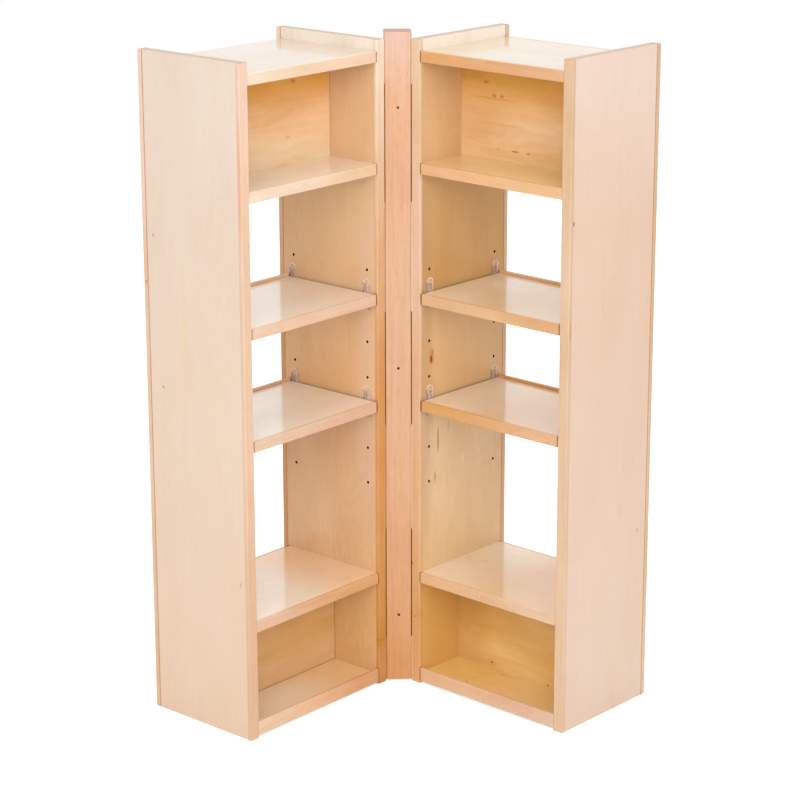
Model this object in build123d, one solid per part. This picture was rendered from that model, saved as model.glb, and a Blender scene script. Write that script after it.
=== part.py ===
from build123d import *

import math
import os

# Two double-sided pantry shelf units that swing on one mounting post.
# Millimetres, +Z up, the viewer stands at -Y, and the floor is Z = 0.
# A unit is drawn shut, as the right-hand one: its hinge pin on the Z axis, its width along +X
# and its depth along +Y. It is then swung to the rest angle and set beside the post.
# The left-hand unit is the mirror image of the right-hand one.

# Small rounds that repeat many times are drawn as prisms of this many sides
SIDES = 10
SCREW_SIDES = 6

# Boards and the solid-wood bands on their edges
BOARD = 19.0
BAND = 6.4
SIDE_REAR_BAND = 9.5
EASE = 0.8
DADO = 6.0

# One shelf unit, measured over its two sides
UNIT_WIDTH = 345.0
UNIT_DEPTH = 233.0
UNIT_HEIGHT = 1157.0
TOP_REVEAL = 19.0
END_BAY = 172.0
FLOOR_GAP = 4.5
BOTTOM_BOARD = 15.0
BOTTOM_STRIP = 25.0

# Drilled columns for the adjustable shelves
HOLE_RADIUS = 2.5
HOLE_DEPTH = 10.0
HOLE_FIRST = 375.0
HOLE_PITCH = 64.0
HOLE_COUNT = 7
HOLE_FRONT_INSET = 24.5
HOLE_REAR_INSET = 35.0
UPPER_SHELF_HOLE = 5
LOWER_SHELF_HOLE = 2

# Adjustable shelves
SHELF_END_GAP = 2.5
SHELF_REAR_GAP = 21.0
SHELF_LIP = 5.0
SHELF_LIP_WIDTH = 6.0

# Clear shelf clips
CLIP_WIDTH = 17.0
CLIP_WALL = 2.0
CLIP_DROP = 7.0
CLIP_SEAT = 5.5
CLIP_SEAT_REACH = 12.0
CLIP_SEAT_THICK = 2.5
CLIP_TAB_RISE = 25.0
CLIP_TONGUE_WIDTH = 6.0
CLIP_TONGUE_THICK = 2.0
CLIP_PEG_LENGTH = 9.0
PEG_CLEARANCE = 0.05

# Mounting post
POST_WIDTH = 46.0
POST_DEPTH = 38.0
POST_HEIGHT = 1165.0
POST_FLOOR_GAP = 3.0
POST_EASE = 2.0
SCREW_HOLE_RADIUS = 2.25
SINK_RADIUS = 3.1
SCREW_MIDDLE = 583.0
SCREW_SPACING = 457.0

# Long leaf hinges, three to a unit
HINGE_MIDDLE = 583.0
HINGE_SPACING = 396.0
KNUCKLE_PITCH = 25.4
KNUCKLE_COUNT = 8
KNUCKLE_GAP = 0.3
LEAF_THICK = 0.6
LEAF_WIDTH = 14.0
PIN_RADIUS = 0.5
PIN_CLEARANCE = 0.05
PIN_SETBACK = 0.9
SIDE_GAP = 0.25
RELIEF = 0.25
POCKET_CLEARANCE = 0.25
SCREWS_PER_LEAF = 3
HEAD_RADIUS = 2.6
HEAD_TAPER = 45.0
SHANK_RADIUS = 1.2
SHANK_LENGTH = 13.0

# Angle between each unit's shut place and the one it stands at
REST_ANGLE = 45.5

# Hinge places that follow from the sizes above
BORE = PIN_RADIUS + PIN_CLEARANCE
KNUCKLE_RADIUS = BORE + LEAF_THICK
HINGE_LENGTH = KNUCKLE_PITCH * KNUCKLE_COUNT
PLATE_START = KNUCKLE_RADIUS + RELIEF
HINGE_CENTRES = {
    "bottom": HINGE_MIDDLE - HINGE_SPACING,
    "middle": HINGE_MIDDLE,
    "top": HINGE_MIDDLE + HINGE_SPACING,
}

# Faces of the shut unit across its width, from the pin outwards
X_NEAR = SIDE_GAP
X_BAY_NEAR = X_NEAR + BOARD
X_FAR = X_NEAR + UNIT_WIDTH
X_BAY_FAR = X_FAR - BOARD
BAY = (X_BAY_NEAR, X_BAY_FAR)
DADOED = (X_BAY_NEAR - DADO, X_BAY_FAR + DADO)

# Faces of the shut unit through its depth
Y_FRONT = -PIN_SETBACK
Y_REAR = Y_FRONT + UNIT_DEPTH
Y_SIDE_BOARD = (Y_FRONT + BAND, Y_REAR - SIDE_REAR_BAND)
Y_FIXED = (Y_FRONT, Y_REAR - SIDE_REAR_BAND)
Y_ADJUSTABLE = (Y_FRONT, Y_REAR - SHELF_REAR_GAP)

# Levels
Z_UNIT = (0.0, UNIT_HEIGHT)
Z_TOP_PANEL = (UNIT_HEIGHT - TOP_REVEAL - BOARD, UNIT_HEIGHT - TOP_REVEAL)
Z_UPPER_SHELF = (Z_TOP_PANEL[0] - END_BAY - BOARD, Z_TOP_PANEL[0] - END_BAY)
Z_BOTTOM_PANEL = (FLOOR_GAP, FLOOR_GAP + BOTTOM_BOARD)
Z_BOTTOM_STRIP = (FLOOR_GAP, FLOOR_GAP + BOTTOM_STRIP)
Z_LOWER_SHELF = (Z_BOTTOM_PANEL[1] + END_BAY, Z_BOTTOM_PANEL[1] + END_BAY + BOARD)
HOLE_ROWS = (Y_FRONT + HOLE_FRONT_INSET, Y_REAR - HOLE_REAR_INSET)

# The pins stand beside the post, and the whole object is centred on the floor's origin
PIN_X = POST_WIDTH / 2 + SIDE_GAP
SWING = math.radians(REST_ANGLE)
REACH_FORWARD = X_FAR * math.sin(SWING) - Y_FRONT * math.cos(SWING)
REACH_BACK = Y_REAR * math.cos(SWING) - X_NEAR * math.sin(SWING)
PIN_Y = (REACH_FORWARD - REACH_BACK) / 2


def block(x, y, z):
    """A box given by its low and high faces on each axis."""
    size = [high - low for low, high in (x, y, z)]
    return Pos(x[0], y[0], z[0]) * Box(*size, align=(Align.MIN, Align.MIN, Align.MIN))


def small_round(radius, length, sides=SIDES):
    """A thin bar or drill along +Z, with its corners at the radius."""
    return extrude(RegularPolygon(radius, sides), length)


def screw_places():
    """Places of a leaf's screws on the face of its plate, up from the hinge's foot."""
    y = (PLATE_START + LEAF_WIDTH) / 2
    pitch = HINGE_LENGTH / SCREWS_PER_LEAF
    return [Pos(BORE, y, pitch * (step + 0.5)) * Rot(0, 90, 0) for step in range(SCREWS_PER_LEAF)]


def screw_head():
    """A countersunk head as deep as the leaf, with its flat face on Z = 0."""
    return extrude(RegularPolygon(HEAD_RADIUS, SCREW_SIDES), LEAF_THICK, taper=HEAD_TAPER)


def screw_shank():
    """A screw's shank, from its flat face down."""
    return small_round(SHANK_RADIUS, LEAF_THICK + SHANK_LENGTH, SCREW_SIDES)


def eased(piece, run, outward):
    """Break the two long edges of a band on its outward face."""
    edges = piece.edges().filter_by(run).group_by(Axis.Y)
    return chamfer(edges[0] if outward < 0 else edges[-1], EASE)


def shelf_hole_heights():
    """Heights of the holes in one drilled column."""
    return [HOLE_FIRST + HOLE_PITCH * row for row in range(HOLE_COUNT)]


def shelf_level(hole):
    """Underside and top of an adjustable shelf whose clips sit in this hole."""
    underside = HOLE_FIRST + HOLE_PITCH * hole + CLIP_SEAT
    return (underside, underside + BOARD)


def drilled(side, face, into):
    """Drill both columns of shelf holes into a side, from its face inside the bay."""
    drill = Rot(0, 90 * into, 0) * small_round(HOLE_RADIUS, HOLE_DEPTH)
    return side - [Pos(face, y, z) * drill for y in HOLE_ROWS for z in shelf_hole_heights()]


def hinge_recess():
    """Pockets for a unit's leaves, room for the knuckles, and pilot holes, at all three hinges."""
    half = HINGE_LENGTH / 2 + POCKET_CLEARANCE
    pocket = block((0, KNUCKLE_RADIUS), (0, LEAF_WIDTH + POCKET_CLEARANCE), (-half, half))
    swept = RegularPolygon(KNUCKLE_RADIUS + RELIEF, SIDES, major_radius=False)
    knuckle_room = Pos(0, 0, -half) * extrude(swept, 2 * half)
    pilots = [Pos(0, 0, -HINGE_LENGTH / 2) * place * screw_shank() for place in screw_places()]
    cuts = [pocket, knuckle_room] + pilots
    return [Pos(0, 0, centre) * cut for centre in HINGE_CENTRES.values() for cut in cuts]


def dadoes(x):
    """Grooves that take the ends of the four fixed boards."""
    y = (Y_FIXED[0] + BAND, Y_FIXED[1] - BAND)
    levels = (Z_TOP_PANEL, Z_UPPER_SHELF, Z_LOWER_SHELF, Z_BOTTOM_PANEL)
    return [block(x, y, z) for z in levels]


def side_bands(x):
    """Front and rear bands of one side."""
    front = block(x, (Y_FRONT, Y_SIDE_BOARD[0]), Z_UNIT)
    rear = block(x, (Y_SIDE_BOARD[1], Y_REAR), Z_UNIT)
    return eased(front, Axis.Z, -1), eased(rear, Axis.Z, 1)


def inner_side():
    """The side next to the post, with its drilled columns and hinge pockets."""
    x = (X_NEAR, X_BAY_NEAR)
    side = drilled(block(x, Y_SIDE_BOARD, Z_UNIT), X_BAY_NEAR, -1)
    side -= dadoes((DADOED[0], X_BAY_NEAR))
    side -= hinge_recess()
    front, rear = side_bands(x)
    return {"inner_side": side, "inner_side_bands": Compound([front - hinge_recess(), rear])}


def outer_side():
    """The side away from the post."""
    x = (X_BAY_FAR, X_FAR)
    side = drilled(block(x, Y_SIDE_BOARD, Z_UNIT), X_BAY_FAR, 1)
    side -= dadoes((X_BAY_FAR, DADOED[1]))
    return {"outer_side": side, "outer_side_bands": Compound(side_bands(x))}


def fixed_board(name, z, band_z):
    """A fixed board let into both sides, with a band on its front and rear edges."""
    board = block(DADOED, (Y_FIXED[0] + BAND, Y_FIXED[1] - BAND), z)
    front = block(BAY, (Y_FIXED[0], Y_FIXED[0] + BAND), band_z)
    rear = block(BAY, (Y_FIXED[1] - BAND, Y_FIXED[1]), band_z)
    bands = Compound([eased(front, Axis.X, -1), eased(rear, Axis.X, 1)])
    return {name: board, name + "_bands": bands}


def divider(z):
    """A back panel at mid depth, which shuts one end bay off from front and rear."""
    middle = (Y_FRONT + Y_REAR) / 2
    return block(BAY, (middle - BOARD / 2, middle + BOARD / 2), z)


def adjustable_shelf(name, hole):
    """A loose shelf with a flush front band and a rear band that stands up as a lip."""
    x = (X_BAY_NEAR + SHELF_END_GAP, X_BAY_FAR - SHELF_END_GAP)
    y_front, y_rear = Y_ADJUSTABLE
    z = shelf_level(hole)
    board = block(x, (y_front + BAND, y_rear - SHELF_LIP_WIDTH), z)
    front = block(x, (y_front, y_front + BAND), z)
    lip = block(x, (y_rear - SHELF_LIP_WIDTH, y_rear), (z[0], z[1] + SHELF_LIP))
    bands = Compound([eased(front, Axis.X, -1), eased(lip, Axis.X, 1)])
    return {name: board, name + "_bands": bands}


def shelf_clip():
    """One clear clip with its hole at the origin and the bay towards +X."""
    top = CLIP_SEAT + BOARD + CLIP_TAB_RISE
    shoulder = top - CLIP_WIDTH / 2
    half = CLIP_WIDTH / 2
    plate = block((0, CLIP_WALL), (-half, half), (-CLIP_DROP, shoulder))
    crown = Pos(0, 0, shoulder) * Rot(0, 90, 0) * small_round(half, CLIP_WALL)
    seat = block((0, CLIP_SEAT_REACH), (-half, half), (CLIP_SEAT - CLIP_SEAT_THICK, CLIP_SEAT))
    web_profile = Polyline(
        (CLIP_WALL, 0, -CLIP_DROP),
        (CLIP_SEAT_REACH, 0, CLIP_SEAT - CLIP_SEAT_THICK),
        (CLIP_WALL, 0, CLIP_SEAT - CLIP_SEAT_THICK),
        close=True,
    )
    web = extrude(make_face(web_profile), CLIP_WALL / 2, both=True)
    half_tongue = CLIP_TONGUE_WIDTH / 2
    tongue = block(
        (0, CLIP_WALL + CLIP_TONGUE_THICK),
        (-half_tongue, half_tongue),
        (CLIP_SEAT + BOARD + SHELF_LIP, shoulder),
    )
    peg = Rot(0, -90, 0) * small_round(HOLE_RADIUS - PEG_CLEARANCE, CLIP_PEG_LENGTH)
    return plate + crown + seat + web + tongue + peg


def shelf_clips():
    """Four clips for each adjustable shelf, two on each side."""
    near = shelf_clip()
    far = mirror(near, about=Plane.YZ)
    clips = []
    for hole in (LOWER_SHELF_HOLE, UPPER_SHELF_HOLE):
        z = HOLE_FIRST + HOLE_PITCH * hole
        for y in HOLE_ROWS:
            clips.append(Pos(X_BAY_NEAR, y, z) * near)
            clips.append(Pos(X_BAY_FAR, y, z) * far)
    return Compound(clips)


def hinge_leaf(first_knuckle):
    """A unit's hinge leaf standing on Z = 0: a sunk plate rolled into every other knuckle."""
    leaf = block((BORE, KNUCKLE_RADIUS), (PLATE_START, LEAF_WIDTH), (0, HINGE_LENGTH))
    strap = Pos(BORE + LEAF_THICK / 2, PLATE_START / 2) * Rectangle(LEAF_THICK, PLATE_START)
    bore = RegularPolygon(BORE, SIDES, major_radius=False)
    knuckle = extrude(
        RegularPolygon(KNUCKLE_RADIUS, SIDES) + strap - bore, KNUCKLE_PITCH - KNUCKLE_GAP
    )
    for index in range(first_knuckle, KNUCKLE_COUNT, 2):
        leaf += Pos(0, 0, index * KNUCKLE_PITCH + KNUCKLE_GAP / 2) * knuckle
    return leaf - [place * screw_head() for place in screw_places()]


def hinges():
    """What swings with the unit and what stays on the post, each piece by its name."""
    seats = {name: Pos(0, 0, z - HINGE_LENGTH / 2) for name, z in HINGE_CENTRES.items()}
    pin = small_round(PIN_RADIUS, HINGE_LENGTH)
    screw = screw_head() + screw_shank()
    screws = [seat * place * screw for seat in seats.values() for place in screw_places()]
    unit_leaf = hinge_leaf(0)
    post_leaf = mirror(hinge_leaf(1), about=Plane.YZ)
    on_unit = {f"{name}_hinge_unit_leaf": seat * unit_leaf for name, seat in seats.items()}
    on_unit["hinge_unit_screws"] = Compound(screws)
    on_post = {f"{name}_hinge_post_leaf": seat * post_leaf for name, seat in seats.items()}
    on_post["hinge_post_screws"] = mirror(Compound(screws), about=Plane.YZ)
    on_post["hinge_pins"] = Compound([seat * pin for seat in seats.values()])
    return on_unit, on_post


def mounting_post():
    """The post that both units hang on, screwed to a cabinet through three sunk holes."""
    x = (-POST_WIDTH / 2, POST_WIDTH / 2)
    y = (Y_FRONT, Y_FRONT + POST_DEPTH)
    post = block(x, y, (POST_FLOOR_GAP, POST_FLOOR_GAP + POST_HEIGHT))
    post = chamfer(post.edges().filter_by(Axis.Z), POST_EASE)
    for step in (-1, 0, 1):
        spot = Pos(0, y[0], SCREW_MIDDLE + step * SCREW_SPACING) * Rot(-90, 0, 0)
        post -= spot * Cylinder(
            SCREW_HOLE_RADIUS, POST_DEPTH, align=(Align.CENTER, Align.CENTER, Align.MIN)
        )
        post -= spot * Cone(
            SINK_RADIUS,
            SCREW_HOLE_RADIUS,
            SINK_RADIUS - SCREW_HOLE_RADIUS,
            align=(Align.CENTER, Align.CENTER, Align.MIN),
        )
    left = [Pos(-PIN_X, 0, 0) * cut for cut in hinge_recess()]
    right = [mirror(cut, about=Plane.YZ) for cut in left]
    return Pos(0, PIN_Y, 0) * (post - left - right)


def shelf_unit():
    """Every piece of one shut unit that swings with it."""
    pieces = {**outer_side(), **inner_side()}
    pieces.update(fixed_board("top_panel", Z_TOP_PANEL, Z_TOP_PANEL))
    pieces.update(fixed_board("upper_fixed_shelf", Z_UPPER_SHELF, Z_UPPER_SHELF))
    pieces.update(fixed_board("lower_fixed_shelf", Z_LOWER_SHELF, Z_LOWER_SHELF))
    pieces.update(fixed_board("bottom_panel", Z_BOTTOM_PANEL, Z_BOTTOM_STRIP))
    pieces["upper_divider"] = divider((Z_UPPER_SHELF[1], Z_TOP_PANEL[0]))
    pieces["lower_divider"] = divider((Z_BOTTOM_PANEL[1], Z_LOWER_SHELF[0]))
    pieces.update(adjustable_shelf("upper_adjustable_shelf", UPPER_SHELF_HOLE))
    pieces.update(adjustable_shelf("lower_adjustable_shelf", LOWER_SHELF_HOLE))
    pieces["shelf_clips"] = shelf_clips()
    return pieces


def beside_post(piece, angle, side):
    """Swing a piece about its pin, set it beside the post, and mirror it for the left."""
    placed = Pos(PIN_X, PIN_Y, 0) * Rot(0, 0, -angle) * piece
    return placed if side == "right" else mirror(placed, about=Plane.YZ)


def assembly():
    """Every named piece at its rest place."""
    pieces = {"mounting_post": mounting_post()}
    leaves, fixed = hinges()
    swinging = {**shelf_unit(), **leaves}
    for side in ("left", "right"):
        for name, piece in swinging.items():
            pieces[f"{side}_{name}"] = beside_post(piece, REST_ANGLE, side)
        for name, piece in fixed.items():
            pieces[f"{side}_{name}"] = beside_post(piece, 0, side)
    return pieces


os.makedirs("parts", exist_ok=True)
for node, shape in assembly().items():
    export_step(shape, f"parts/{node}.step")
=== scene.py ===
import math

import bmesh
import bpy
from mathutils import Matrix, Vector


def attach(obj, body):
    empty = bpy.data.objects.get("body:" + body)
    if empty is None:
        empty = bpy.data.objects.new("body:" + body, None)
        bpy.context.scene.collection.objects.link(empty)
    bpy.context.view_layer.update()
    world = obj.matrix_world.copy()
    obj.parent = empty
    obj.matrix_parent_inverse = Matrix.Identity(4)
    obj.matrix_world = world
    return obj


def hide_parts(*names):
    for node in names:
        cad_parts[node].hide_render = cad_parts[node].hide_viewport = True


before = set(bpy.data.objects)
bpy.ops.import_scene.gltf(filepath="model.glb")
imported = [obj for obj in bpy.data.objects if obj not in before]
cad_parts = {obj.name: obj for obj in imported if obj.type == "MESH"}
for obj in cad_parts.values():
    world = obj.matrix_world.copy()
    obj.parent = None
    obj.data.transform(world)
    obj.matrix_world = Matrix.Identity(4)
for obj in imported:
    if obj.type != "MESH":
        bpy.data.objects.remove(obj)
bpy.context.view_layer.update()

# A pair of double-sided maple shelf units that swing on one mounting post. +Z is up and the viewer
# stands at -Y. Sizes are in millimetres and are multiplied by MM, because Blender takes metres.

MM = 0.001

# The right-hand unit's hinge pin, and how far it is swung at rest.
PIN_X = 23.25
PIN_Y = 42.189
REST_ANGLE = math.radians(45.5)

# A unit's boards: a bay's two walls, out from the pin; the joints of a side's bands, back from its
# front; and the heights of the shelves and the top panel, with how far each hides a side's veneer
# above and below its middle.
BAY_NEAR = 19.25
BAY_FAR = 326.25
SIDE_FRONT_JOINT = 5.5
SIDE_REAR_JOINT = 222.6
BOARD = 19.0
PLIES = 7
BOARD_MIDDLES = (201.0, 518.0, 710.0, 937.5, 1128.5)
BOARD_COVER = 8.0
SHELF_END_GAP = 2.5
SHELF_LIP_JOINT = 205.1

# The drilled holes, and the shelf clips that stand in them.
FIRST_HOLE = 375.0
LAST_HOLE = 759.0
HOLE_PITCH = 64.0
HOLE_RADIUS = 2.62
HOLE_MARGIN = 4.0
HOLE_DEPTH = 12.0
LOW_HOLE = 503.0
SHELF_SPACING = 192.0
FRONT_ROW = 23.6
ROW_SPACING = 173.5
CLIP_SEAT = 5.5
CLIP_SEAT_UNDER = 3.0
CLIP_TOP = 49.5
CLIP_DROP = 7.0
CLIP_HALF = 8.5
CLIP_PLATE = 1.3
CLIP_RIM = 1.6
CLIP_BAR = 1.9
CLIP_BRACE = 0.9
CLIP_BRACE_FOOT = -5.5
CLIP_REACH = 12.0
CLIP_EDGE = 0.35
CROWN_STEPS = 14
SHELF_PLAY = 0.4
PEG_RADIUS = 2.4
PEG_LENGTH = 8.8


def tint(code):
    """An sRGB hex colour as the linear colour that a shader takes."""
    channels = [int(code[i : i + 2], 16) / 255 for i in (0, 2, 4)]
    linear = [c / 12.92 if c <= 0.04045 else ((c + 0.055) / 1.055) ** 2.4 for c in channels]
    return (*linear, 1.0)


def add(tree, kind, fill=None, stops=(), **settings):
    """Add one node: settings, then inputs from values, nodes or sockets, then a ramp's stops."""
    node = tree.nodes.new(kind)
    for name, value in settings.items():
        setattr(node, name, value)
    live = [socket for socket in node.inputs if socket.enabled]
    for key, value in (fill or {}).items():
        socket = live[key] if isinstance(key, int) else next(s for s in live if s.name == key)
        if isinstance(value, bpy.types.Node):
            value = next(s for s in value.outputs if s.enabled)
        if isinstance(value, bpy.types.NodeSocket):
            tree.links.new(value, socket)
        else:
            socket.default_value = value
    for i, (place, code) in enumerate(stops):
        points = node.color_ramp.elements
        point = points[i] if i < 2 else points.new(place)
        point.position, point.color = place, tint(code)
    return node


def new_material(name):
    """A material with an empty tree."""
    material = bpy.data.materials.new(name)
    material.use_nodes = True
    material.node_tree.nodes.clear()
    return material, material.node_tree


# How each kind of piece lies: which axis runs across the grain, along it and through the board.
LAYS = {
    "upright": ("Y", "Z", "X"),
    "shelf": ("Y", "X", "Z"),
    "back": ("Z", "X", "Y"),
    "post": ("X", "Z", "Y"),
}

# Sizes of the wood's figure, in millimetres across the grain, along it and through the board. Growth
# lines and flecks are really 0.5 mm apart, and the pores of end grain 0.1 mm. They are drawn coarser
# so that they show.
CLOUDS = (65, 190, 60)
SWIRL_PATCHES = (110, 240, 60)
FLECKS = (2.6, 19, 3)
END_PORES = (1.5, 30, 1.5)
STREAKS = {"upright": (5, 230, 12), "shelf": (5, 230, 12), "back": (11, 230, 12), "post": (5, 230, 5)}

# The clouds' whole range is this many radians of swirled bands, about ten bands.
SWIRL_RADIANS = 62.0

# An inner side's bay tones, with the light and shade painted into them, reach this deep into the board,
# and its face towards the post has one tone.
BAY_TONE_DEPTH = 8.0
POST_FACE = "ddbf9e"


def grain_space(tree, side, lay):
    """Coordinates with X across the grain, Y along it and Z through the board."""
    place = add(tree, "ShaderNodeTexCoord").outputs["Object"]
    if lay != "post":
        pin = Vector((PIN_X * MM, PIN_Y * MM, 0.0))
        pin.rotate(Matrix.Rotation(REST_ANGLE, 3, "Z"))
        place = add(
            tree,
            "ShaderNodeMapping",
            {
                "Vector": place,
                "Location": (-pin.x, -pin.y, 0.0),
                "Rotation": (0.0, 0.0, REST_ANGLE),
                "Scale": (1.0 if side == "right" else -1.0, 1.0, 1.0),
            },
        )
    axes = add(tree, "ShaderNodeSeparateXYZ", {"Vector": place})
    across, along, through = (axes.outputs[name] for name in LAYS[lay])
    return add(tree, "ShaderNodeCombineXYZ", {"X": across, "Y": along, "Z": through})


def growth(tree, space, cell, shift, detail=2.0, rough=0.5):
    """Smooth noise whose cells are this many millimetres across, along and through the grain."""
    scale = [1 / (size * MM) for size in cell]
    place = {"Vector": space, "Location": (shift, shift * 0.7, shift * 1.3), "Scale": scale}
    place = add(tree, "ShaderNodeMapping", place)
    fill = {"Vector": place, "Scale": 1.0, "Detail": detail, "Roughness": rough}
    return add(tree, "ShaderNodeTexNoise", fill)


def tinted(tree, colour, pattern, stops, share=1.0):
    """A colour multiplied by the tints that a pattern picks."""
    shade = add(tree, "ShaderNodeValToRGB", {"Fac": pattern}, stops)
    fill = {"Factor": share, "A": colour, "B": shade}
    return add(tree, "ShaderNodeMix", fill, data_type="RGBA", blend_type="MULTIPLY")


def marked(tree, space, colour, marks):
    """Knots, flecks, streaks, joint lines and painted shade: each has a centre, a size, a colour and a
    strength.
    """
    for centre, size, code, strength in marks:
        place = [-2 * c / s for c, s in zip(centre, size)]
        scale = [2 / (s * MM) for s in size]
        near = add(tree, "ShaderNodeMapping", {"Vector": space, "Location": place, "Scale": scale})
        away = add(tree, "ShaderNodeVectorMath", {0: near}, operation="LENGTH").outputs["Value"]
        # Full strength over the middle third, then a soft fade to the mark's edge.
        fade = {"Value": away, "From Min": 0.35, "From Max": 1.0, "To Min": strength, "To Max": 0.0}
        fade = add(tree, "ShaderNodeMapRange", fade, interpolation_type="SMOOTHSTEP")
        fill = {"Factor": fade, "A": colour, "B": tint(code)}
        colour = add(tree, "ShaderNodeMix", fill, data_type="RGBA")
    return colour


def drilled(tree, space, colour):
    """Painted shade inside the shelf-pin holes, which repeat up both rows of a side."""
    axes = add(tree, "ShaderNodeSeparateXYZ", {"Vector": space}).outputs
    across, along, through = (axes[name] for name in "XYZ")
    away = []
    for place, first, pitch in ((across, FRONT_ROW, ROW_SPACING), (along, FIRST_HOLE, HOLE_PITCH)):
        off = add(tree, "ShaderNodeMath", {0: place, 1: first * MM}, operation="SUBTRACT")
        half = pitch / 2 * MM
        away.append(add(tree, "ShaderNodeMath", {0: off, 1: half, 2: -half}, operation="WRAP"))
    away = add(tree, "ShaderNodeCombineXYZ", {"X": away[0], "Y": away[1]})
    away = add(tree, "ShaderNodeVectorMath", {0: away}, operation="LENGTH").outputs["Value"]
    hole = add(tree, "ShaderNodeMath", {0: away, 1: HOLE_RADIUS * MM}, operation="LESS_THAN")
    for place, low, high in (
        (along, FIRST_HOLE - HOLE_MARGIN, LAST_HOLE + HOLE_MARGIN),
        (through, BAY_NEAR - HOLE_DEPTH, BAY_FAR + HOLE_DEPTH),
    ):
        within = {0: place, 1: (low + high) / 2 * MM, 2: (high - low) / 2 * MM}
        within = add(tree, "ShaderNodeMath", within, operation="COMPARE")
        hole = add(tree, "ShaderNodeMath", {0: hole, 1: within}, operation="MULTIPLY")
    # Painted shade: the inside of each hole is drawn dark.
    fill = {"Factor": hole, "A": colour, "B": tint("2e1a0c")}
    return add(tree, "ShaderNodeMix", fill, data_type="RGBA")


def end_faces(tree, space, colour, plies):
    """On the sawn ends of an upright piece: plywood's crossed plies, or the pores of end grain."""
    # An end is a face that looks up or down, whichever way the unit is swung.
    normal = add(tree, "ShaderNodeTexCoord").outputs["Normal"]
    up = add(tree, "ShaderNodeSeparateXYZ", {"Vector": normal}).outputs["Z"]
    up = add(tree, "ShaderNodeMath", {0: up}, operation="ABSOLUTE")
    end = add(tree, "ShaderNodeMath", {0: up, 1: 0.8}, operation="GREATER_THAN")
    if plies:
        # Every second ply shows its end grain, which is darker.
        through = add(tree, "ShaderNodeSeparateXYZ", {"Vector": space}).outputs["Z"]
        turn = {0: through, 1: math.pi * PLIES / (BOARD * MM)}
        turn = add(tree, "ShaderNodeMath", turn, operation="MULTIPLY")
        pattern = add(tree, "ShaderNodeMath", {0: turn}, operation="SINE")
        pattern = {"Value": pattern, "From Min": -0.5, "From Max": 0.5}
        pattern = add(tree, "ShaderNodeMapRange", pattern)
        stops = ((0.0, "b08a60"), (1.0, "ecdcc2"))
    else:
        pattern = growth(tree, space, END_PORES, 4.0, 2.0)
        stops = ((0.3, "b9906a"), (0.7, "dcc0a0"))
    return tinted(tree, colour, pattern, stops, end)


def maple(
    name, side, lay, length, stops, seed, marks,
    cloud, swirl, lines, flecks, rough, coat, plies=False, behind=None,
):
    """Maple is a pale, close-grained wood with a cloudy figure, fine growth lines and short flecks.
    A thin coat of clear satin lacquer gives a soft shine over it."""
    material, tree = new_material(name)
    space = grain_space(tree, side, lay)
    # A divider's tone, with its painted shade, changes with its height, and any other piece's along its
    # grain.
    axes = add(tree, "ShaderNodeSeparateXYZ", {"Vector": space}).outputs
    place = axes["X" if lay == "back" else "Y"]
    share = {"Value": place, "From Min": 0.0, "From Max": length * MM}
    share = add(tree, "ShaderNodeMapRange", share)
    stops = [(at / length, code) for at, code in stops]
    colour = add(tree, "ShaderNodeValToRGB", {"Fac": share}, stops if len(stops) > 1 else stops * 2)
    if behind:
        bay = {0: axes["Z"], 1: (BAY_NEAR - BAY_TONE_DEPTH) * MM}
        bay = add(tree, "ShaderNodeMath", bay, operation="GREATER_THAN")
        fill = {"Factor": bay, "A": tint(behind), "B": colour}
        colour = add(tree, "ShaderNodeMix", fill, data_type="RGBA")

    clouds = growth(tree, space, CLOUDS, seed, 3.0)
    colour = tinted(tree, colour, clouds, ((0.3, "ffffff"), (0.7, "ead2ac")), cloud)
    # Bands swirl round the clouds, in patches only.
    bands = add(tree, "ShaderNodeMath", {0: clouds, 1: SWIRL_RADIANS}, operation="MULTIPLY")
    bands = add(tree, "ShaderNodeMath", {0: bands}, operation="SINE")
    bands = add(tree, "ShaderNodeMapRange", {"Value": bands, "From Min": -1.0, "From Max": 1.0})
    patch = growth(tree, space, SWIRL_PATCHES, seed + 5, 2.0)
    patch = {"Value": patch, "From Min": 0.42, "From Max": 0.8, "To Min": 0.0, "To Max": swirl}
    patch = add(tree, "ShaderNodeMapRange", patch)
    colour = tinted(tree, colour, bands, ((0.0, "fffdf8"), (1.0, "e8cda0")), patch)
    streak = growth(tree, space, STREAKS[lay], seed + 3, 4.0, 0.6)
    colour = tinted(tree, colour, streak, ((0.3, "ffffff"), (0.7, "ecd6b4")), lines)
    fleck = growth(tree, space, FLECKS, seed + 9, 1.0)
    colour = tinted(tree, colour, fleck, ((0.52, "ffffff"), (0.78, "c9a57e")), flecks)
    colour = marked(tree, space, colour, marks)
    if plies:
        colour = drilled(tree, space, colour)
    if lay in ("upright", "post"):
        colour = end_faces(tree, space, colour, plies)

    bump = add(tree, "ShaderNodeBump", {"Height": streak, "Strength": 0.06, "Distance": 0.3 * MM})
    finish = {
        "Base Color": colour,
        "Roughness": rough,
        "IOR": 1.5,
        "Coat Weight": coat,
        "Coat Roughness": 0.1 if lay == "shelf" else 0.16,
        "Normal": bump,
    }
    shader = add(tree, "ShaderNodeBsdfPrincipled", finish)
    add(tree, "ShaderNodeOutputMaterial", {"Surface": shader})
    return material


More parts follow.
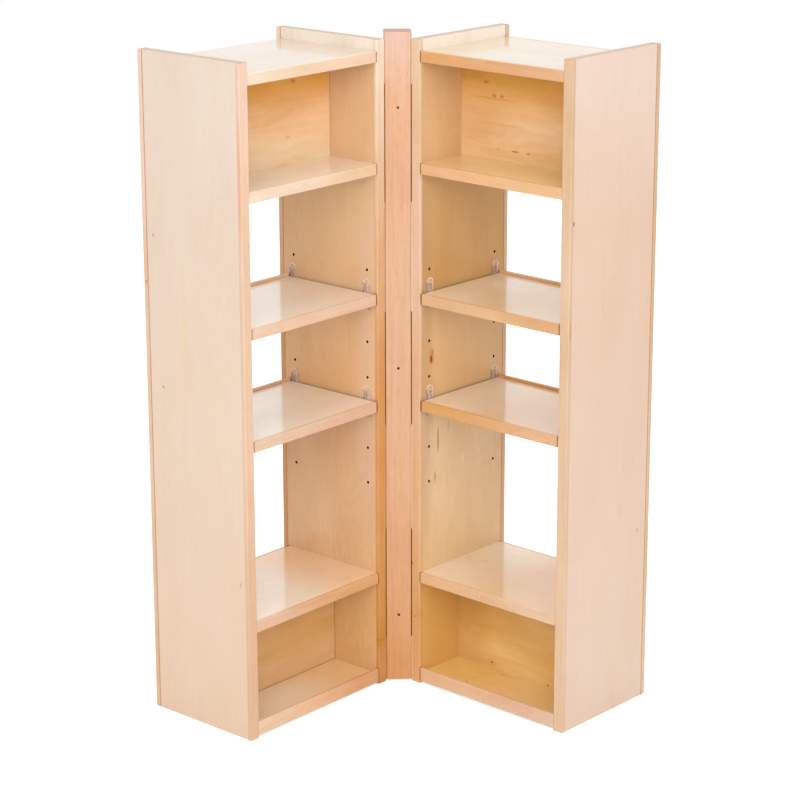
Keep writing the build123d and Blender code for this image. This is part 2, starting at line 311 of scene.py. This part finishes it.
def bronzed_steel():
    """Pressed steel with a brown bronzed skin, rubbed a little brighter in places by handling."""
    material, tree = new_material("bronzed_pressed_steel")
    place = add(tree, "ShaderNodeTexCoord").outputs["Object"]
    # Rolling marks run up the leaf: 3 mm apart, drawn coarser than the real tenths of a millimetre.
    scale = add(tree, "ShaderNodeMapping", {"Vector": place, "Scale": (330.0, 330.0, 12.0)})
    rolled = add(tree, "ShaderNodeTexNoise", {"Vector": scale, "Scale": 1.0, "Detail": 3.0})
    rubbed = add(tree, "ShaderNodeTexNoise", {"Vector": place, "Scale": 45.0, "Detail": 3.0})
    colour = add(tree, "ShaderNodeValToRGB", {"Fac": rolled}, ((0.3, "86501f"), (0.7, "9c6229")))
    colour = tinted(tree, colour, rubbed, ((0.45, "d8cbbf"), (0.65, "ffffff")))
    dull = {"Value": rubbed, "From Min": 0.3, "From Max": 0.7, "To Min": 0.6, "To Max": 0.45}
    dull = add(tree, "ShaderNodeMapRange", dull)
    bump = add(tree, "ShaderNodeBump", {"Height": rolled, "Strength": 0.1, "Distance": 0.1 * MM})
    finish = {"Base Color": colour, "Roughness": dull, "Metallic": 0.7, "Normal": bump}
    shader = add(tree, "ShaderNodeBsdfPrincipled", finish)
    add(tree, "ShaderNodeOutputMaterial", {"Surface": shader})
    return material


def clear_polycarbonate():
    """Water-clear moulded plastic: nearly unseen face on, whiter at its rounded edges, with lamps
    mirrored sharply in it and faint flow ripples from the mould."""
    material, tree = new_material("clear_moulded_polycarbonate")
    place = add(tree, "ShaderNodeTexCoord").outputs["Object"]
    flow = add(tree, "ShaderNodeTexNoise", {"Vector": place, "Scale": 260.0, "Detail": 1.0})
    bump = add(tree, "ShaderNodeBump", {"Height": flow, "Strength": 0.06, "Distance": 0.4 * MM})
    colour = add(tree, "ShaderNodeValToRGB", {"Fac": flow}, ((0.3, "ffece0"), (0.7, "fbdccb")))
    edge = add(tree, "ShaderNodeLayerWeight", {"Blend": 0.35, "Normal": bump}).outputs["Facing"]
    body = {"Value": edge, "From Min": 0.0, "From Max": 0.8, "To Min": 0.12, "To Max": 0.66}
    body = add(tree, "ShaderNodeMapRange", body)
    # Light passes on through it to the wood behind, so it throws no shadow.
    shadow = add(tree, "ShaderNodeLightPath").outputs["Is Shadow Ray"]
    lit = add(tree, "ShaderNodeMath", {0: 1.0, 1: shadow}, operation="SUBTRACT")
    body = add(tree, "ShaderNodeMath", {0: body, 1: lit}, operation="MULTIPLY")
    finish = {"Base Color": colour, "Roughness": 0.08, "IOR": 1.585, "Alpha": body, "Normal": bump}
    shader = add(tree, "ShaderNodeBsdfPrincipled", finish)
    add(tree, "ShaderNodeOutputMaterial", {"Surface": shader})
    return material


def dress(node, material):
    """Give a carried-over node its finish."""
    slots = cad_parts[node].data.materials
    slots.clear()
    slots.append(material)


# Each piece has its own tone, partly the real boards' differences and partly light and shade painted
# in. It shifts at millimetres up the post, the sides and the dividers, and out from the hinge for the
# shelves. Painted shade makes the post darker and more orange towards the bottom, and the upper
# dividers darker and more orange towards the top panel. An inner side has one tone or two for each bay,
# with that bay's light and shade painted into it.
TONE_AND_SHADE_STOPS = {
    "left_bottom_panel": [(90, "f3d5a7"), (180, "f3e5d1")],
    "left_bottom_panel_bands": [(70, "e0aa7c"), (170, "eec7a8"), (270, "eaccb1")],
    # Each bay's light and shade is painted into these tones.
    "left_inner_side": [
        (110, "e1ba86"), (260, "dfb88e"), (430, "d6a879"), (620, "e3b684"), (840, "ddb689"),
        (1030, "ddb992"), (1148, "eae4da"),
    ],
    "left_inner_side_bands": [(50, "c58d20"), (130, "d59e58"), (600, "d89e65"), (1110, "ebddcb")],
    "left_lower_adjustable_shelf": [(80, "f3e7da"), (180, "f3ede4")],
    "left_lower_adjustable_shelf_bands": [(70, "e0b99d"), (270, "e5cdbd")],
    "left_lower_divider": [(50, "e1ba8c"), (95, "e5be84")],
    "left_lower_fixed_shelf": [(80, "f3d1ad"), (180, "f3e6d7")],
    "left_lower_fixed_shelf_bands": [(70, "dfaf82"), (170, "e1b28a"), (270, "e6c5b0")],
    "left_outer_side": [(60, "e1c5ac"), (1100, "ddccbc")],
    "left_outer_side_bands": [(60, "ddba9a"), (1100, "e7ccbc")],
    "left_top_panel": [(160, "d9c4b2")],
    "left_top_panel_bands": [(70, "ecd4c1"), (270, "e7d6c3")],
    "left_upper_adjustable_shelf": [(80, "f3e4d4"), (180, "f3ede4")],
    "left_upper_adjustable_shelf_bands": [(70, "e5c5ad"), (270, "e8ccba")],
    # Painted shade: darker and more orange towards the top panel.
    "left_upper_divider": [(965, "f3e3c9"), (1000, "f1d4ac"), (1040, "f0c69c"), (1078, "eab058")],
    "left_upper_fixed_shelf": [(100, "f3ede4")],
    "left_upper_fixed_shelf_bands": [(70, "e7cdac"), (170, "eedece"), (270, "ebdacb")],
    # Painted shade: darker and more orange towards the bottom.
    "mounting_post": [
        (50, "d49d6a"), (400, "d6ab8c"), (600, "d0a788"), (1060, "d3a989"), (1130, "d3b2a0"),
    ],
    "right_bottom_panel": [(90, "f3d07f"), (180, "f3d291")],
    "right_bottom_panel_bands": [(70, "eac5a1"), (270, "e3c2ae")],
    # Each bay's light and shade is painted into these tones.
    "right_inner_side": [
        (110, "e1b367"), (260, "e5c597"), (430, "e7c9a0"), (620, "e1ba84"), (840, "cfa363"),
        (1030, "dbb88c"), (1148, "f2ebe3"),
    ],
    "right_inner_side_bands": [(50, "e7b885"), (130, "deb07a"), (870, "e3c8b4"), (1110, "ddc4a7")],
    "right_lower_adjustable_shelf": [(80, "f3e3d1"), (180, "e9c9a2")],
    "right_lower_adjustable_shelf_bands": [(70, "d8a363"), (270, "ddb18d")],
    "right_lower_divider": [(50, "f3d393"), (95, "e7be72")],
    "right_lower_fixed_shelf": [(80, "f3e3cc"), (180, "e8c497")],
    "right_lower_fixed_shelf_bands": [(70, "eec9a4"), (270, "e2c5ab")],
    "right_outer_side": [(60, "e0c6b2"), (870, "dfbfa8"), (1100, "e2cbbb")],
    "right_outer_side_bands": [(60, "dfc0a4"), (1100, "d3b597")],
    "right_top_panel": [(160, "d8c4a7")],
    "right_top_panel_bands": [(70, "d7a673"), (270, "d6ac87")],
    "right_upper_adjustable_shelf": [(80, "f3e5d0"), (180, "e5c9a4")],
    "right_upper_adjustable_shelf_bands": [(70, "debc96"), (170, "e0bd97"), (270, "d7a77a")],
    # Painted shade: darker and more orange towards the top panel.
    "right_upper_divider": [(965, "ebc89a"), (1000, "e9c9a3"), (1078, "e1ac52")],
    "right_upper_fixed_shelf": [(100, "f1d8a0")],
    "right_upper_fixed_shelf_bands": [(70, "e0b488"), (270, "e2bc92")],
}

# Knots, flecks, streaks and stains of the veneers and bands, and painted light and shade: washes along
# the inner sides' front strips, and shade towards the dividers' inner corners. Centres and sizes are
# millimetres across the grain, along it and through the board. A size of FACE keeps a mark to one face,
# and a size of SHADE is so large that the mark doesn't fade that way.
SHADE = 20000.0
FACE = 6.0
MARKS = {
    "left_inner_side": [
        # Painted light: a paler, pinker wash along the front strip of the bay face.
        ((18, 600, 19.25), (100, 900, FACE), "dab797", 0.5),
    ],
    "left_inner_side_bands": [
        ((-0.9, 83, 10), (SHADE, 2.6, SHADE), "a86c36", 0.7),
        ((-0.9, 40, 10), (SHADE, 84, SHADE), "e0a184", 0.35),
    ],
    "left_lower_divider": [
        # Painted shade: dark lines in the corners where the divider meets the inner side and the bottom
        # panel.
        ((100, 19.6, 106), (SHADE, 3.6, FACE), "7a420c", 0.6),
        ((20.4, 170, 106), (3, SHADE, FACE), "7a420c", 0.5),
    ],
    "left_outer_side": [
        ((191.5, 590, 345.25), (5, 6, FACE), "7a4c2a", 0.8),
        ((206.5, 849, 345.25), (4.5, 10, FACE), "8e603a", 0.65),
        ((17.5, 277, 345.25), (5, 16, FACE), "c98344", 0.6),
        ((140, 700, 345.25), (16, 420, FACE), "dfc09a", 0.35),
        ((60, 420, 345.25), (10, 300, FACE), "dfc09a", 0.3),
    ],
    "left_outer_side_bands": [
        ((3, 970, 345.25), (14, 280, FACE), "d98f52", 0.5),
        ((225.5, 767, 345.25), (5, 8, FACE), "7a4c2a", 0.7),
    ],
    "left_upper_divider": [
        # Painted shade: a dark line in the corner where the divider meets the inner side.
        ((1040, 19.6, 106), (SHADE, 4, FACE), "a8703c", 0.6),
        ((1087.7, 110, 106), (10, 16, FACE), "a8703c", 0.6),
        ((995, 124, 106), (7, 12, FACE), "b98552", 0.4),
    ],
    "right_bottom_panel": [
        ((92.6, 141, 19.5), (7, 50, FACE), "c08a45", 0.45),
        ((27.3, 106, 19.5), (5, 9, FACE), "8a5a2a", 0.7),
    ],
    "right_inner_side": [
        # Painted shade: a darker wash along the front strip of the bay face.
        ((4, 600, 19.25), (80, 1000, FACE), "b4895a", 0.5),
        ((29.7, 601, 19.25), (20, 44, FACE), "d98b3a", 0.8),
        ((29.0, 597, 19.25), (9, 20, FACE), "6a3a12", 0.95),
        ((31.5, 609, 19.25), (6, 12, FACE), "b06a22", 0.8),
        ((47.5, 447, 19.25), (5.5, 66, FACE), "8a5f3c", 0.75),
        ((39.5, 379, 19.25), (5, 28, FACE), "8a5f3c", 0.65),
        ((74.5, 467, 19.25), (5, 36, FACE), "b98c5e", 0.4),
        ((114.5, 397, 19.25), (4, 30, FACE), "f8e6c6", 0.5),
    ],
    "right_inner_side_bands": [
        ((-0.9, 125.7, 8.8), (8, 5, 5), "8a5a30", 0.7),
        ((-0.9, 224.6, 2.7), (8, 6, 5), "8a5a30", 0.7),
    ],
    "right_lower_divider": [
        # Painted shade: darker and more orange towards the corner with the inner side.
        ((110, 15, 106), (SHADE, 200, SHADE), "b87c3a", 0.35),
        ((28.7, 98, 106), (22, 34, FACE), "d9a35c", 0.5),
        ((28.7, 98, 106), (6, 9, FACE), "8e5a2a", 0.8),
        ((20.2, 228, 106), (6, 9, FACE), "8e5a2a", 0.8),
        ((65, 46, 106), (26, 40, FACE), "dcae6a", 0.5),
        ((83, 56, 106), (20, 34, FACE), "dcae6a", 0.45),
        ((77.5, 159, 106), (5, 46, FACE), "c99a5c", 0.4),
    ],
    "right_outer_side": [
        ((8, 889, 345.25), (6, 12, FACE), "7a4626", 0.8),
        ((199.5, 315, 345.25), (4.5, 10, FACE), "8e603a", 0.6),
        ((149.5, 365, 345.25), (5, 40, FACE), "cfa478", 0.4),
        ((132.5, 30, 345.25), (5, 22, FACE), "cfa478", 0.45),
        ((90, 760, 345.25), (14, 380, FACE), "dcbc96", 0.3),
    ],
    "right_outer_side_bands": [
        ((3.5, 710, 345.25), (6, 56, FACE), "c97848", 0.6),
    ],
    "right_upper_divider": [
        ((1052, 90, 106), (5, 150, FACE), "cf8a3e", 0.55),
        ((1009, 105, 106), (6, 130, FACE), "d79a52", 0.5),
        ((1079, 74, 106), (11, 20, FACE), "c98445", 0.6),
        ((1079, 74, 106), (5, 7, FACE), "8a5423", 0.75),
        ((1057, 92, 106), (8, 12, FACE), "a5682f", 0.7),
        ((1057, 109, 106), (8, 12, FACE), "a5682f", 0.7),
        ((966.6, 139, 106), (3.4, 22, FACE), "7a4a22", 0.8),
        ((966.6, 168, 106), (3.4, 12, FACE), "7a4a22", 0.7),
        ((966.6, 102, 106), (3.0, 9, FACE), "8a5a30", 0.45),
    ],
}

# Shadow lines: where each strip and shelf ends at the inner side, along a shelf's raised lip, and
# where a side's veneer meets its bands.
LINE = "6a3404"
for side in ("left", "right"):
    for board in ("top_panel", "upper_fixed_shelf", "lower_fixed_shelf", "bottom_panel"):
        line = ((0, BAY_NEAR, 500), (SHADE, 6.0, SHADE), LINE, 0.9)
        MARKS.setdefault(f"{side}_{board}_bands", []).append(line)
    for board in ("upper_adjustable_shelf", "lower_adjustable_shelf"):
        line = ((0, BAY_NEAR + SHELF_END_GAP, 500), (SHADE, 6.0, SHADE), LINE, 0.9)
        MARKS.setdefault(f"{side}_{board}_bands", []).append(line)
        lip = ((SHELF_LIP_JOINT, 170, 500), (4.0, SHADE, SHADE), LINE, 0.6)
        MARKS.setdefault(f"{side}_{board}", []).extend((line, lip))
    for board in ("inner_side", "outer_side"):
        front = ((SIDE_FRONT_JOINT, 580, 170), (3.2, SHADE, SHADE), "a9713f", 0.35)
        rear = ((SIDE_REAR_JOINT, 580, 170), (6.0, SHADE, SHADE), "b8692a", 0.85)
        MARKS.setdefault(f"{side}_{board}", []).extend((front, rear))

# For each kind of piece: how it lies, its length in millimetres, how strongly clouds, swirls, lines and
# flecks show, and the lacquer's roughness and coat.
FEATURES = ("lay", "length", "cloud", "swirl", "lines", "flecks", "rough", "coat")
KINDS = {
    "post": ("post", 1168, 0.35, 0.0, 0.5, 0.16, 0.45, 0.35),
    "outer": ("upright", 1157, 0.14, 0.1, 0.1, 0.04, 0.42, 0.5),
    "side": ("upright", 1157, 0.34, 0.25, 0.15, 0.04, 0.42, 0.5),
    "side_bands": ("upright", 1157, 0.4, 0.15, 0.3, 0.1, 0.42, 0.5),
    "divider": ("back", 1157, 0.7, 0.3, 0.3, 0.05, 0.42, 0.5),
    "shelf": ("shelf", 345, 0.3, 0.25, 0.15, 0.03, 0.32, 1.0),
    "shelf_bands": ("shelf", 345, 0.4, 0.2, 0.35, 0.1, 0.42, 0.5),
}


def kind_of(node):
    """Which kind of wooden piece a node is."""
    if node == "mounting_post":
        return "post"
    bands = "_bands" if node.endswith("bands") else ""
    if "divider" in node:
        return "divider"
    if node.endswith("outer_side"):
        return "outer"
    return ("side" if "side" in node else "shelf") + bands


def stepped(stops):
    """An inner side's tones with each bay's painted light and shade, which change behind its shelves
    and are even within each bay.
    """
    steps = []
    for (low, code), (high, other) in zip(stops, stops[1:]):
        steps.append((low, code))
        for board in BOARD_MIDDLES:
            if low < board < high:
                steps.extend(((board - BOARD_COVER, code), (board + BOARD_COVER, other)))
    return [*steps, stops[-1]]


STEEL = bronzed_steel()
CLEAR = clear_polycarbonate()
for seed, node in enumerate(sorted(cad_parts)):
    side = "left" if node.startswith("left") else "right"
    if "hinge" in node:
        dress(node, STEEL)
    elif "clips" not in node:
        kind = kind_of(node)
        wood = dict(zip(FEATURES, KINDS[kind]))
        wood.update(stops=TONE_AND_SHADE_STOPS[node], seed=seed * 1.37, marks=MARKS.get(node, ()))
        if node.endswith("inner_side"):
            wood.update(stops=stepped(TONE_AND_SHADE_STOPS[node]), behind=POST_FACE)
        dress(node, maple(f"lacquered_maple_{node}", side, plies=kind in ("side", "outer"), **wood))


def prism(mesh, outline, near, far):
    """A flat plate of this outline, in Y and Z, from one X to the other; millimetres."""
    ends = [[mesh.verts.new((x * MM, y * MM, z * MM)) for y, z in outline] for x in (near, far)]
    mesh.faces.new(list(reversed(ends[0])))
    mesh.faces.new(ends[1])
    for i in range(len(outline)):
        j = (i + 1) % len(outline)
        mesh.faces.new((ends[0][i], ends[0][j], ends[1][j], ends[1][i]))


def rod(mesh, path, radius, sides=8):
    """A round rod with flat ends along a path of points in X, Y and Z; millimetres."""
    rings = []
    for i, point in enumerate(path):
        ahead = Vector(path[min(i + 1, len(path) - 1)]) - Vector(path[max(i - 1, 0)])
        turn = ahead.to_track_quat("Z", "X")
        ring = []
        for k in range(sides):
            angle = 2 * math.pi * (k + 0.5) / sides
            offset = turn @ Vector((radius * math.cos(angle), radius * math.sin(angle), 0.0))
            ring.append(mesh.verts.new((Vector(point) + offset) * MM))
        rings.append(ring)
    mesh.faces.new(list(reversed(rings[0])))
    mesh.faces.new(rings[-1])
    for low, high in zip(rings, rings[1:]):
        for k in range(sides):
            j = (k + 1) % sides
            mesh.faces.new((low[k], low[j], high[j], high[k]))


def shelf_clip():
    """One clip with its hole at the origin and the bay towards +X."""
    mesh = bmesh.new()
    shoulder = CLIP_TOP - CLIP_HALF
    crown = [math.pi * k / CROWN_STEPS for k in range(CROWN_STEPS + 1)]
    outline = [(CLIP_HALF * math.cos(a), shoulder + CLIP_HALF * math.sin(a)) for a in crown]
    prism(mesh, [(CLIP_HALF, -CLIP_DROP), *outline, (-CLIP_HALF, -CLIP_DROP)], 0.0, CLIP_PLATE)
    seat = [(y, z) for z in (CLIP_SEAT_UNDER, CLIP_SEAT) for y in (-CLIP_HALF, CLIP_HALF)]
    prism(mesh, [seat[0], seat[1], seat[3], seat[2]], 0.0, CLIP_REACH)
    rounding = {"offset": CLIP_EDGE * MM, "segments": 2, "affect": "EDGES", "clamp_overlap": True}
    bmesh.ops.bevel(mesh, geom=list(mesh.edges), **rounding)
    # A raised rim round the arch, a raised bar up its middle, and a brace under the seat.
    inner = CLIP_HALF - CLIP_RIM
    rim = [(CLIP_RIM, inner * math.cos(a), shoulder + inner * math.sin(a)) for a in crown]
    foot = CLIP_SEAT + BOARD + SHELF_PLAY
    rod(mesh, [(CLIP_RIM, inner, foot), *rim, (CLIP_RIM, -inner, foot)], CLIP_RIM)
    rod(mesh, [(2.2, 0.0, foot), (2.2, 0.0, shoulder - 1), (1.4, 0.0, shoulder + 2)], CLIP_BAR)
    brace = [(CLIP_PLATE, 0.0, CLIP_BRACE_FOOT), (CLIP_REACH - 2.5, 0.0, CLIP_SEAT_UNDER)]
    rod(mesh, brace, CLIP_BRACE)
    rod(mesh, [(-PEG_LENGTH, 0.0, 0.0), (0.5, 0.0, 0.0)], PEG_RADIUS, 16)
    body = bpy.data.meshes.new("shelf_clip")
    mesh.normal_update()
    mesh.to_mesh(body)
    mesh.free()
    for face in body.polygons:
        face.use_smooth = True
    body.set_sharp_from_angle(angle=math.radians(50))
    clip = bpy.data.objects.new("shelf_clip_pattern", body)
    bpy.context.scene.collection.objects.link(clip)
    return clip


def clip_rows():
    """Geometry nodes that set clips in both rows, at both shelves and on both walls of a unit."""
    tree = bpy.data.node_groups.new("clip_rows", "GeometryNodeTree")
    sockets = {
        "Clip": "NodeSocketObject",
        "Bay centre": "NodeSocketFloat",
        "Bay width": "NodeSocketFloat",
        "Front row": "NodeSocketFloat",
        "Row spacing": "NodeSocketFloat",
        "Low hole": "NodeSocketFloat",
        "Shelf spacing": "NodeSocketFloat",
        "Finish": "NodeSocketMaterial",
    }
    for name, kind in sockets.items():
        tree.interface.new_socket(name, in_out="INPUT", socket_type=kind)
    tree.interface.new_socket("Geometry", in_out="OUTPUT", socket_type="NodeSocketGeometry")
    given = add(tree, "NodeGroupInput").outputs
    clip = add(tree, "GeometryNodeObjectInfo", {"Object": given["Clip"]}).outputs["Geometry"]
    half = add(tree, "ShaderNodeMath", {0: given["Bay width"], 1: -0.5}, operation="MULTIPLY")
    start = {"X": half, "Y": given["Front row"], "Z": given["Low hole"]}
    start = add(tree, "ShaderNodeCombineXYZ", start)
    up = add(tree, "ShaderNodeCombineXYZ", {"Z": given["Shelf spacing"]})
    back = add(tree, "ShaderNodeCombineXYZ", {"Y": given["Row spacing"]})
    column = add(tree, "GeometryNodeMeshLine", {"Count": 2, "Start Location": start, "Offset": up})
    row = add(tree, "GeometryNodeMeshLine", {"Count": 2, "Offset": back})
    holes = add(tree, "GeometryNodeInstanceOnPoints", {"Points": row, "Instance": column})
    holes = add(tree, "GeometryNodeRealizeInstances", {"Geometry": holes})
    near = add(tree, "GeometryNodeInstanceOnPoints", {"Points": holes, "Instance": clip})
    # The other wall's clips face back, so each hole is carried across and each clip turned round.
    across = add(tree, "ShaderNodeCombineXYZ", {"X": given["Bay width"]})
    facing = add(tree, "GeometryNodeSetPosition", {"Geometry": holes, "Offset": across})
    turned = {"Points": facing, "Instance": clip, "Rotation": (0.0, 0.0, math.pi)}
    far = add(tree, "GeometryNodeInstanceOnPoints", turned)
    both = add(tree, "GeometryNodeJoinGeometry")
    for wall in (far, near):
        tree.links.new(wall.outputs["Instances"], both.inputs["Geometry"])
    centre = add(tree, "ShaderNodeCombineXYZ", {"X": given["Bay centre"]})
    moved = add(tree, "GeometryNodeTransform", {"Geometry": both, "Translation": centre})
    real = add(tree, "GeometryNodeRealizeInstances", {"Geometry": moved})
    dressed = add(tree, "GeometryNodeSetMaterial", {"Geometry": real, "Material": given["Finish"]})
    add(tree, "NodeGroupOutput", {"Geometry": dressed})
    return tree


def place_clips(side, tree, clip):
    """The eight clips of one unit, as one piece that swings with it."""
    flip = 1.0 if side == "right" else -1.0
    values = {
        "Clip": clip,
        "Bay centre": flip * (BAY_NEAR + BAY_FAR) / 2 * MM,
        "Bay width": (BAY_FAR - BAY_NEAR) * MM,
        "Front row": FRONT_ROW * MM,
        "Row spacing": ROW_SPACING * MM,
        "Low hole": LOW_HOLE * MM,
        "Shelf spacing": SHELF_SPACING * MM,
        "Finish": CLEAR,
    }
    maker = bpy.data.objects.new("clip_maker", bpy.data.meshes.new("clip_maker"))
    bpy.context.scene.collection.objects.link(maker)
    modifier = maker.modifiers.new("rows", "NODES")
    modifier.node_group = tree
    for socket in tree.interface.items_tree:
        if socket.in_out == "INPUT":
            modifier[socket.identifier] = values[socket.name]
    bpy.context.view_layer.update()
    graph = bpy.context.evaluated_depsgraph_get()
    mesh = bpy.data.meshes.new_from_object(maker.evaluated_get(graph))
    pin = Matrix.Translation((flip * PIN_X * MM, PIN_Y * MM, 0.0))
    mesh.transform(pin @ Matrix.Rotation(-flip * REST_ANGLE, 4, "Z"))
    maker.modifiers.remove(modifier)
    bpy.data.objects.remove(maker)
    piece = bpy.data.objects.new(f"{side}_moulded_shelf_clips", mesh)
    bpy.context.scene.collection.objects.link(piece)
    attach(piece, f"{side}_unit")
    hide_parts(f"{side}_shelf_clips")


pattern = shelf_clip()
rows = clip_rows()
for side in ("left", "right"):
    place_clips(side, rows, pattern)
bpy.data.objects.remove(pattern)


# The photograph's camera. Its turns are in degrees: to the right, down and clockwise.
LENS = 113.6
SHIFT = -0.05
EYE = (-0.2321, -4.1581, 1.7917)
TURNS = (3.20, 15.84, 0.10)

# Each softbox: its place, the point that it faces, its width and its power in watts, and whether the
# lacquer mirrors it. The three that aren't mirrored only fill the bays.
SOFTBOXES = {
    "left_softbox": ((-1.6, -3.0, 2.5), (0, 0, 0.6), 1.8, 24, True),
    "right_softbox": ((1.6, -3.0, 2.5), (0, 0, 0.6), 1.8, 27, True),
    "front_softbox": ((-0.2, -3.4, 2.4), (0, 0, 0.55), 2.0, 46, False),
    "low_softbox": ((-0.1, -3.6, 0.9), (0, 0, 0.2), 1.4, 16, False),
    "top_softbox": ((0.1, -0.2, 3.4), (0, 0, 0.6), 1.4, 17, True),
    "rear_softbox": ((0, 3.2, 2.6), (0, 0, 0.6), 2.0, 42, False),
}

# The world's light on the object. To the camera and in reflections it is a full white, 1.
WORLD_LIGHT = 0.62

# The floor: how far it reaches, in metres, and the white that it adds to its own for the camera.
FLOOR_REACH = 6.0
FLOOR_GLOW = 0.55


def camera():
    """The photograph's camera: above the units, a little left of the post, with a long lens."""
    data = bpy.data.cameras.new("camera")
    data.lens = LENS
    data.shift_y = SHIFT
    data.clip_end = 50
    eye = bpy.data.objects.new("camera", data)
    eye.location = EYE
    yaw, pitch, roll = (math.radians(angle) for angle in TURNS)
    turn = Matrix.Rotation(-yaw, 4, "Z") @ Matrix.Rotation(math.pi / 2 - pitch, 4, "X")
    eye.rotation_euler = (turn @ Matrix.Rotation(-roll, 4, "Z")).to_euler()
    bpy.context.scene.collection.objects.link(eye)
    bpy.context.scene.camera = eye


def softbox(name, place, target, size, power, mirrored):
    """A large square lamp that faces a point."""
    data = bpy.data.lights.new(name, "AREA")
    data.shape = "SQUARE"
    data.size = size
    data.energy = power
    lamp = bpy.data.objects.new(name, data)
    lamp.location = place
    lamp.rotation_euler = (Vector(target) - Vector(place)).to_track_quat("-Z", "Y").to_euler()
    lamp.visible_glossy = mirrored
    bpy.context.scene.collection.objects.link(lamp)


def surroundings():
    """White studio: a pale floor and a white world, seen at full white and lighting softly."""
    world = bpy.data.worlds.new("studio")
    bpy.context.scene.world = world
    world.use_nodes = True
    tree = world.node_tree
    tree.nodes.clear()
    path = add(tree, "ShaderNodeLightPath").outputs
    seen = path["Is Camera Ray"]
    for ray in ("Is Glossy Ray", "Is Transmission Ray"):
        seen = add(tree, "ShaderNodeMath", {0: seen, 1: path[ray]}, operation="MAXIMUM")
    strength = {0: seen, 1: 1.0 - WORLD_LIGHT, 2: WORLD_LIGHT}
    strength = add(tree, "ShaderNodeMath", strength, operation="MULTIPLY_ADD")
    glow = add(tree, "ShaderNodeBackground", {"Color": tint("ffffff"), "Strength": strength})
    add(tree, "ShaderNodeOutputWorld", {"Surface": glow})

    mesh = bpy.data.meshes.new("floor")
    corners = [(x * FLOOR_REACH, y * FLOOR_REACH, 0) for x, y in ((-1, -1), (1, -1), (1, 1), (-1, 1))]
    mesh.from_pydata(corners, [], [(0, 1, 2, 3)])
    floor = bpy.data.objects.new("floor", mesh)
    bpy.context.scene.collection.objects.link(floor)
    # Matt white paint, which keeps the shadow. Only the camera sees the glow that whitens it.
    material, tree = new_material("white_studio_floor")
    paint = add(tree, "ShaderNodeBsdfDiffuse", {"Color": tint("e6e6e4")})
    white = add(tree, "ShaderNodeEmission", {"Color": tint("ffffff"), "Strength": FLOOR_GLOW})
    both = add(tree, "ShaderNodeAddShader", {0: paint, 1: white})
    seen = add(tree, "ShaderNodeLightPath").outputs["Is Camera Ray"]
    mix = add(tree, "ShaderNodeMixShader", {0: seen, 1: paint, 2: both})
    add(tree, "ShaderNodeOutputMaterial", {"Surface": mix})
    mesh.materials.append(material)


camera()
surroundings()
for name, settings in SOFTBOXES.items():
    softbox(name, *settings)

view = bpy.context.scene.view_settings
view.view_transform = "Standard"
